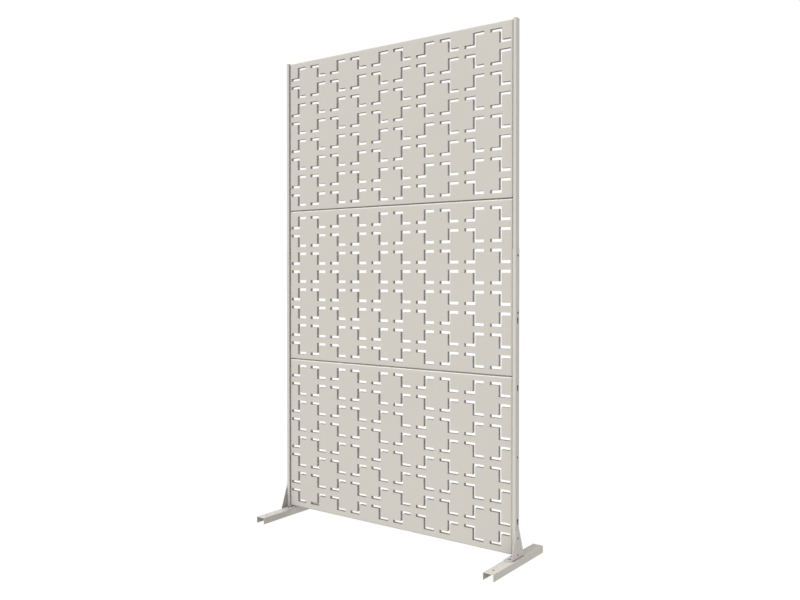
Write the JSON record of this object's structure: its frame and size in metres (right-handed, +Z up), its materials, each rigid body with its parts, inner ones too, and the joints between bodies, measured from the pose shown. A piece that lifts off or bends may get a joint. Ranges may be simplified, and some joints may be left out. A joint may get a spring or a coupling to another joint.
{
  "type": "garden privacy screen",
  "caption": "Freestanding garden privacy screen: stacked slotted lattice panels hung between slim telescopic tube posts, on channel feet with gusset brackets.",
  "frame": {"origin": "on the ground, midway between the two posts and midway along the feet", "axes": "+X to the right as seen from the front, +Y towards the back, +Z up; the front of the screen faces -Y"},
  "size_m": [1.0728, 0.35, 1.8412],
  "materials": {
    "panel": "matte warm grey moulded panel, fine texture",
    "coated_frame": "matte warm grey powder coat",
    "cap": "matte warm grey moulding",
    "dark_screw": "dark coated steel",
    "zinc": "zinc plated steel"
  },
  "bodies": {
    "root": {"panel_bottom": "panel", "panel_middle": "panel", "panel_top": "panel", "lower_post_right": "coated_frame", "upper_post_right": "coated_frame", "foot_channel_right": "coated_frame", "gusset_bracket_right": "coated_frame", "post_cap_right": "cap", "lower_post_left": "coated_frame", "upper_post_left": "coated_frame", "foot_channel_left": "coated_frame", "gusset_bracket_left": "coated_frame", "post_cap_left": "cap", "bottom_panel_lower_stud_right": "zinc", "bottom_panel_upper_stud_right": "zinc", "middle_panel_lower_stud_right": "zinc", "middle_panel_upper_stud_right": "zinc", "top_panel_lower_stud_right": "zinc", "top_panel_upper_stud_right": "zinc", "bracket_lower_screw_right": "dark_screw", "bracket_lower_nut_right": "zinc", "joint_lower_screw_right": "dark_screw", "joint_lower_nut_right": "zinc", "bracket_upper_screw_right": "dark_screw", "bracket_upper_nut_right": "zinc", "joint_upper_screw_right": "dark_screw", "joint_upper_nut_right": "zinc", "foot_front_bolt_right": "zinc", "foot_front_nut_right": "zinc", "foot_back_bolt_right": "zinc", "foot_back_nut_right": "zinc", "bottom_panel_lower_stud_left": "zinc", "bottom_panel_upper_stud_left": "zinc", "middle_panel_lower_stud_left": "zinc", "middle_panel_upper_stud_left": "zinc", "top_panel_lower_stud_left": "zinc", "top_panel_upper_stud_left": "zinc", "bracket_lower_screw_left": "dark_screw", "bracket_lower_nut_left": "zinc", "joint_lower_screw_left": "dark_screw", "joint_lower_nut_left": "zinc", "bracket_upper_screw_left": "dark_screw", "bracket_upper_nut_left": "zinc", "joint_upper_screw_left": "dark_screw", "joint_upper_nut_left": "zinc", "foot_front_bolt_left": "zinc", "foot_front_nut_left": "zinc", "foot_back_bolt_left": "zinc", "foot_back_nut_left": "zinc"}
  },
  "joints": []
}
